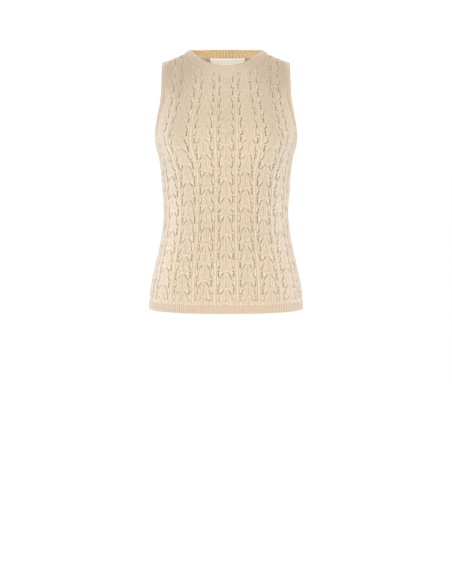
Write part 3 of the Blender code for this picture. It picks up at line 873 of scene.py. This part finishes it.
def make_neckband(materials):
    share = np.linspace(0, 1, 151)
    quarters = {half: neck_quarter(half, share) for half in (FRONT, BACK)}

    def full_round(index):
        quarter = np.vstack([quarters[FRONT][index], quarters[BACK][index][-2::-1]])
        return np.vstack([quarter, quarter[-2:0:-1] * MIRROR])

    seam, top, seam_normal = full_round(0), full_round(1), unit(full_round(2))
    along = unit(np.roll(top, -1, axis=0) - np.roll(top, 1, axis=0))
    band_normal = unit(np.cross(along, unit(top - seam)))
    middle_normal = unit(seam_normal + 2 * band_normal)
    width = np.linalg.norm(top - seam, axis=1) * TO_MM
    around = ribs_around((seam + top) / 2, NECK_RIB)
    strong, faint = ribs(around, NECK_RIB) - 0.5, ribs(around, BAND_RIB) - 0.5
    plain = FRONT_LIGHT - SIDE_SHADE * smoothstep(np.abs(seam[:, 0]) / SIDE_X)
    thick = sum(NECKBAND_FACES)
    edge = thick / 2
    lines = []
    for distance, height in capsule(NECKBAND_WIDTH, *NECKBAND_FACES):
        # The rolled edges keep their size; what lies between them stretches with the band
        across = edge + (distance - edge) * (width - thick) / (NECKBAND_WIDTH - thick)
        if distance < edge:
            across = np.full(len(width), distance)
        elif distance > NECKBAND_WIDTH - edge:
            across = width + distance - NECKBAND_WIDTH
        part = (across / width)[:, None]
        normal = unit(np.where(part < 0.5, seam_normal + (middle_normal - seam_normal) * part * 2,
                               middle_normal + (band_normal - middle_normal) * (part * 2 - 1)))
        inward = (NECKBAND_FACES[0] - height) / thick
        lift = (NECKBAND_BULGE * 4 * part[:, 0] * (1 - part[:, 0]) + height
                - STRONG_RIB * inward * strong + FAINT_RIB * (1 - inward) * faint)
        light = inward * (NECK_LIGHT + strong) + (1 - inward) * (plain + FAINT_LIGHT * faint)
        points = seam + (top - seam) * part + normal * lift[:, None] * MM
        lines.append((points, around / WALE, across / COURSE, light))
    return strip("neckband_knit", lines, materials)


BAND_FACES = 0.7, 1.7  # mm over and under the form
BAND_CROWN, BAND_RELIEF = 0.25, 0.16  # mm, of its middle and of its ribs
BAND_LIGHT, BAND_CONTRAST = 0.60, 0.4  # painted light on it, and the painted light and shade that its ribs add


def make_armhole_band(name, side, materials):
    offsets = np.linspace(BAND_WIDTH, 0, 7)
    points, normals = [], []
    for offset in offsets:
        front, back = (armhole_curve(half, offset, 150) for half in (FRONT, BACK))
        points.append(np.vstack([front[:-1], back[:0:-1]]))
        normals.append(np.vstack([normals_at(front, FRONT)[:-1], normals_at(back, BACK)[:0:-1]]))
    around = ribs_around(points[len(offsets) // 2], BAND_RIB)
    rib = ribs(around, BAND_RIB) - 0.5
    length = BAND_WIDTH * TO_MM
    top, depth = BAND_FACES
    lines = []
    for distance, height in capsule(length, top, depth):
        spot = distance / length * (len(offsets) - 1)
        low = int(min(spot, len(offsets) - 2))
        part = spot - low
        base = points[low] * (1 - part) + points[low + 1] * part
        normal = unit(normals[low] * (1 - part) + normals[low + 1] * part)
        crown = BAND_CROWN * np.sin(pi * distance / length) * (height > 0)
        lift = height + crown + BAND_RELIEF * rib * np.sign(height - (top - depth) / 2)
        light = BAND_LIGHT + BAND_CONTRAST * rib - shoulder_shade(base)
        points_here = (base + normal * lift[:, None] * MM) * (side, 1, 1)
        lines.append((points_here, around / WALE, distance / COURSE, light))
    return strip(name, lines, materials, flip=side > 0)


HEM_RIB, HEM_FACES, HEM_OVERLAP = 4.2, (0.6, 1.6), 0.4  # mm
RIB_OUT, RIB_IN, RIB_MIDDLE = 0.8, -0.6, 0.6  # mm, of the ribs on its faces; what of one lies level
RIB_EDGE, RIB_LEAST = 1.2, 0.25  # mm from its edges in which they sink, and to what share
HEM_GRIP, GRIP_START, GRIP_LENGTH = 0.5, 3.5, 3  # mm that the lace draws it in, and over what
HEM_LIGHT, HEM_CONTRAST, HEM_MOST = 0.92, 1.7, 1.25  # painted light on it, the painted light and shade of its ribs, and its limit


def make_hem(name, half, materials):
    angle = np.linspace(-SIDE, SIDE, 3000)
    length = arc_lengths(form(angle, np.full(len(angle), (HEM_Z + HEM_SEAM_Z) / 2), half)) * TO_MM
    rib_count = round(length[-1] / HEM_RIB)
    at = np.linspace(0, length[-1], rib_count * 6 + 1)
    angle = np.interp(at, length, angle)
    around = at * rib_count * HEM_RIB / length[-1]
    rib = ribs(around, HEM_RIB)
    height = (HEM_SEAM_Z - HEM_Z) * TO_MM + HEM_OVERLAP
    top, depth = HEM_FACES
    lines = []
    for distance, out in capsule(height, top, depth):
        z = np.full(len(angle), HEM_Z + distance * MM)
        base, normal = form(angle, z, half), form_normal(angle, z, half)
        grip = HEM_GRIP * ramp(distance, height - GRIP_START, GRIP_LENGTH)
        fade = np.clip(min(distance, height - distance) / RIB_EDGE, RIB_LEAST, 1)
        rib_height = RIB_OUT if out > (top - depth) / 2 else RIB_IN
        lift = out + rib_height * (rib - RIB_MIDDLE) * fade - grip
        points = base + normal * (lift + folds(base, half))[:, None] * MM
        light = np.clip(HEM_LIGHT + HEM_CONTRAST * (2 * rib ** 2 - 1) * fade, 0, HEM_MOST)
        lines.append((points, around / WALE, distance / COURSE, light))
    return strip(name, lines, materials, ring=False, flip=half == BACK)


LABEL_WIDTH, LABEL_HEIGHT, LABEL_SHIFT = 75.0, 21.0, 3.5  # mm; the shift is off the centre
LABEL_HIDDEN, FOOT_ROUND = 0.5, 0.3  # mm over its height, beside the seam and at its foot
LABEL_BACK, LABEL_FOOT, LABEL_FACE = 3.0, 3.4, 3.9  # mm under the form
LABEL_FALL = 0.97  # height for a length of it: it leans
LABEL_TURNED, TURNED_HEIGHT = 7, 0.25  # mm, of its turned-in ends
RIPPLE, RIPPLE_LENGTH, RIPPLE_START = 0.25, 9.0, 0.7


def make_label(materials):
    """A bare woven label, sewn in at its top and ends, against the inside of the back."""
    across = np.linspace(-LABEL_WIDTH / 2, LABEL_WIDTH / 2, 61)
    ends = TURNED_HEIGHT * (np.abs(across) > LABEL_WIDTH / 2 - LABEL_TURNED)
    across = across + LABEL_SHIFT
    seam = neck_seam(BACK, 0.0, np.linspace(0, SIDE, NECK_SAMPLES))
    top = np.interp(np.abs(across) * MM, seam[:, 0], seam[:, 2])
    down = np.linspace(-LABEL_HIDDEN, LABEL_HEIGHT, 18)
    profile = [*((d, LABEL_BACK) for d in down), (LABEL_HEIGHT + FOOT_ROUND, LABEL_FOOT),
               *((d, LABEL_FACE) for d in down[::-1])]
    lines = []
    for down, depth in profile:
        z = top - down * MM * LABEL_FALL
        points = form(form_angle(across * MM, z), z, BACK)
        ripple = RIPPLE * np.sin(across / RIPPLE_LENGTH + RIPPLE_START) * down / LABEL_HEIGHT
        out = depth + ripple + (ends if depth == LABEL_FACE else 0)
        lines.append((points - normals_at(points, BACK) * out[:, None] * MM, across, down, 1))
    return strip("label_cloth", lines, materials, ring=False, inside=())


# ---- materials
class Nodes:
    """A material's node tree, with one call for each kind of node."""

    def __init__(self, name):
        self.material = bpy.data.materials.new(name)
        self.material.use_nodes = True
        self.tree = self.material.node_tree
        self.shader = self.tree.nodes["Principled BSDF"]

    def feed(self, socket, value):
        if isinstance(value, bpy.types.NodeSocket):
            self.tree.links.new(value, socket)
        else:
            socket.default_value = (*value, 1) if isinstance(value, tuple) else value

    def add(self, kind, feeds=(), **settings):
        """A node with these settings; feeds fills its sockets in turn, or by name or number."""
        node = self.tree.nodes.new(kind)
        for key, value in settings.items():
            setattr(node, key, value)
        for key, value in feeds.items() if isinstance(feeds, dict) else enumerate(feeds):
            self.feed(node.inputs[key], value)
        return node

    def math(self, operation, *values):
        return self.add("ShaderNodeMath", values, operation=operation).outputs[0]

    def wave(self, value, power=1.0):
        """0 at whole numbers and 1 halfway between them."""
        part = self.math("MULTIPLY", self.math("FRACT", value), pi)
        return self.math("POWER", self.math("SINE", part), power)

    def noise(self, vector, scale, detail=2.0):
        feeds = {"Vector": vector, "Scale": scale, "Detail": detail}
        return self.add("ShaderNodeTexNoise", feeds).outputs["Fac"]

    def span(self, *numbers):
        """A value, moved from between two numbers to between two others."""
        return self.add("ShaderNodeMapRange", numbers, clamp=True).outputs[0]

    def mix(self, share, first, second):
        return self.add("ShaderNodeMix", {0: share, 6: first, 7: second}, data_type="RGBA").outputs[2]

    def stitches(self):
        """The piece's places on its stitches: both at once, across, and up."""
        place = self.add("ShaderNodeUVMap", uv_map="stitches").outputs[0]
        return place, *self.add("ShaderNodeSeparateXYZ", (place,)).outputs[:2]

    def surface(self, bump_mm, height, **sockets):
        """Give the shader its bump and what its other sockets hold, spaces in their names as _."""
        if height is not None:
            bumps = self.add("ShaderNodeBump", {"Distance": bump_mm * MM, "Height": height})
            self.feed(self.shader.inputs["Normal"], bumps.outputs[0])
        for name, value in sockets.items():
            self.feed(self.shader.inputs[name.replace("_", " ")], value)
        return self.material


WOBBLE_SCALE, WOBBLE = 160, 0.5  # noise scales in 1/m; how far stitches shift, in stitches
FUZZ_SCALE, FUZZ = 2600, 0.22
HEATHER_SCALE, HEATHER, WARMTH = 45, 0.35, (1.03, 0.96, 0.88)
STITCH_LEAN, LEG_POWER, LEAN_POWER = 0.45, 0.7, 0.8


def knit_material(name, light, shade, hollow, uneven=0.10, bump_mm=0.35, sheen=0.5):
    """Plain knit: rows of V stitches. light and shade are its colours, lit on the stitches and in
    painted shade between them; hollow is how much of the light colour shows where the painted light
    on the cloth is lowest, and uneven is how much that differs from one stitch to the next."""
    nodes = Nodes(name)
    place, across, up = nodes.stitches()
    spot = nodes.add("ShaderNodeTexCoord").outputs["Object"]
    wobble = nodes.math("SUBTRACT", nodes.noise(spot, WOBBLE_SCALE), 0.5)
    across = nodes.math("ADD", across, nodes.math("MULTIPLY", wobble, WOBBLE))
    # Each stitch is two legs that lean out from its middle, and each leg is round
    middle = nodes.math("MULTIPLY", nodes.wave(across), STITCH_LEAN)
    legs = nodes.wave(nodes.math("MULTIPLY", across, 2), LEG_POWER)
    lean = nodes.math("MULTIPLY", nodes.wave(nodes.math("ADD", up, middle), LEAN_POWER), 0.5)
    stitch = nodes.math("MULTIPLY", legs, nodes.math("ADD", lean, 0.5))
    fuzz = nodes.math("MULTIPLY", nodes.noise(spot, FUZZ_SCALE, 3), FUZZ)
    height = nodes.math("ADD", stitch, fuzz)
    # The point attribute holds painted light and shade; with the stitch height it sets tone, which
    # moves the colour from the shaded to the lit one
    high = nodes.add("ShaderNodeAttribute", attribute_name="painted_light").outputs["Fac"]
    tone = nodes.math("MULTIPLY", nodes.span(height, 0.15, 0.85, 0, 1),
                      nodes.span(high, 0, 1, hollow, 1))
    cell = nodes.add("ShaderNodeVectorMath", (place,), operation="FLOOR").outputs[0]
    chance = nodes.add("ShaderNodeTexWhiteNoise", (cell,), noise_dimensions="2D").outputs["Value"]
    tone = nodes.math("MULTIPLY", tone, nodes.span(chance, 0, 1, 1 - uneven, 1 + uneven))
    heather = nodes.span(nodes.noise(spot, HEATHER_SCALE, 4), 0.3, 0.7, 0, 1)
    warm = tuple(value * factor for value, factor in zip(light, WARMTH))
    colour = nodes.mix(nodes.math("MULTIPLY", heather, HEATHER), nodes.mix(tone, shade, light),
                       nodes.mix(tone, shade, warm))
    return nodes.surface(bump_mm, height, Base_Color=colour, Roughness=0.9, Specular_IOR_Level=0.2,
                         Sheen_Weight=sheen, Sheen_Roughness=0.28, Sheen_Tint=(1.0, 0.97, 0.95))


def label_material():
    nodes = Nodes("label_satin_weave")
    _, across, up = nodes.stitches()
    warp = nodes.wave(nodes.math("MULTIPLY", across, 2.2), 0.8)
    weft = nodes.wave(nodes.math("MULTIPLY", up, 3.0), 0.8)
    weave = nodes.math("ADD", nodes.math("MULTIPLY", warp, 0.45), nodes.math("MULTIPLY", weft, 0.55))
    colour = nodes.mix(weave, (0.90, 0.85, 0.72), (0.97, 0.94, 0.84))
    return nodes.surface(0.12, weave, Base_Color=colour, Roughness=0.55, Sheen_Weight=0.2)


def floor_material():
    nodes = Nodes("pale_floor")
    grain = nodes.noise(nodes.add("ShaderNodeTexCoord").outputs["Object"], 3)
    colour = nodes.mix(grain, (0.97, 0.97, 0.97), (0.98, 0.98, 0.98))
    return nodes.surface(0, None, Base_Color=colour, Roughness=0.9, Specular_IOR_Level=0.1)


# Lace and rib colours: each pair is the yarn lit and the yarn in painted shade, mixed by the painted
# light attribute and the stitch pattern
LIGHT, SHADE = (0.700, 0.578, 0.434), (0.340, 0.267, 0.186)
RIB_LIGHT, RIB_SHADE = (0.605, 0.492, 0.382), (0.350, 0.270, 0.186)
lace = knit_material("pointelle_knit", LIGHT, SHADE, hollow=0.25, uneven=0.36, bump_mm=0.5, sheen=1.0)
# Inside of the panels: painted shade, a dark brown deep in the body, and painted light, a bright
# beige, towards the neck
inside = knit_material("knit_inside_painted_light_and_shade", (0.900, 0.700, 0.480), (0.180, 0.118, 0.060), hollow=0.12)
rib = knit_material("rib_knit", RIB_LIGHT, RIB_SHADE, hollow=0.15, sheen=1.0)
# Walls of the eyelets: a dark brown of painted shade
eyelet_wall_shade = knit_material("eyelet_wall_painted_shade", (0.240, 0.150, 0.072), (0.150, 0.090, 0.040), hollow=0.6)
neck_rib = knit_material("neckband_knit", RIB_LIGHT, RIB_SHADE, hollow=0.15, sheen=0.5)
# Inside of the neckband: golden yarn, made brighter by painted light
neck_inside_painted_light = knit_material("neckband_inside_painted_light", (0.660, 0.490, 0.290), (0.430, 0.290, 0.150),
                            hollow=0.0)
woven = label_material()

pieces = {
    "front": make_panel("front_lace", FRONT, (lace, inside, eyelet_wall_shade)),
    "back": make_panel("back_lace", BACK, (lace, inside, eyelet_wall_shade)),
    "hem_front": make_hem("hem_front_rib", FRONT, (rib, rib)),
    "hem_back": make_hem("hem_back_rib", BACK, (rib, rib)),
    "neckband": make_neckband((neck_rib, neck_inside_painted_light)),
    "armhole_band_left": make_armhole_band("armhole_band_left_rib", 1, (rib, rib)),
    "armhole_band_right": make_armhole_band("armhole_band_right_rib", -1, (rib, rib)),
    "label": make_label((woven,)),
}
for node, piece in pieces.items():
    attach(piece, "root")
    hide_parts(node)

# Flat sizes in metres and areas in square metres
Cut = namedtuple("Cut", "width length area rests_on")

# ---- floor, light and camera
FLOOR_Z = -1.6
floor_data = bpy.data.meshes.new("floor")
corners = (-30, -30), (30, -30), (30, 60), (-30, 60)
floor_data.from_pydata([(x, y, FLOOR_Z) for x, y in corners], [], [(0, 1, 2, 3)])
floor_data.materials.append(floor_material())
floor = placed("floor", floor_data)

WORLD_STRENGTH = 1.04
world = bpy.data.worlds.new("studio")
world.use_nodes = True
background = world.node_tree.nodes["Background"]
background.inputs["Color"].default_value = (1, 1, 1, 1)
background.inputs["Strength"].default_value = WORLD_STRENGTH
bpy.context.scene.world = world

# Softboxes, and narrow soft spots that reach down into the neck. spread: the side of a softbox in
# metres, or the cone of a spot in degrees
SPOT_RADIUS = 0.03
Lamp = namedtuple("Lamp", "name kind place aim spread power")
LAMPS = [Lamp(*row) for row in (
    ("key", "AREA", (-0.9, -3.0, 0.0), (0, 0, -0.2), 1.6, 44),
    ("fill", "AREA", (1.1, -3.0, -0.3), (0, 0, -0.28), 1.6, 34),
    ("left", "AREA", (-2.3, 1.2, 0.0), (0, 0, -0.25), 1.4, 31),
    ("right", "AREA", (2.3, 1.2, 0.0), (0, 0, -0.25), 1.4, 31),
    ("neck", "SPOT", (0, -1.6, 0.72), (0.004, 0.055, -0.018), 4.8, 30),
    ("neck_left", "SPOT", (-1.0, -1.2, 0.74), (0.062, 0.026, -0.014), 3.2, 115),
    ("neck_right", "SPOT", (1.0, -1.2, 0.74), (-0.062, 0.026, -0.014), 3.2, 115),
)]
for lamp in LAMPS:
    data = bpy.data.lights.new(lamp.name, lamp.kind)
    data.energy = lamp.power
    if lamp.kind == "AREA":
        data.size = lamp.spread
    else:
        data.spot_size, data.spot_blend = radians(lamp.spread), 1.0
        data.shadow_soft_size = SPOT_RADIUS
    light = placed(lamp.name, data)
    light.location = lamp.place
    way = Vector(lamp.aim) - light.location
    light.rotation_euler = way.to_track_quat("-Z", "Y").to_euler()

CAMERA_PLACE = (0, -3.0, -0.189)
CAMERA_DIP = 6.05  # degrees below level
camera_data = bpy.data.cameras.new("camera")
camera_data.lens, camera_data.sensor_width = 86.7, 36
camera = placed("camera", camera_data)
camera.location = CAMERA_PLACE
camera.rotation_euler = (radians(90 - CAMERA_DIP), 0, 0)
bpy.context.scene.camera = camera
bpy.context.scene.view_settings.view_transform = "Standard"
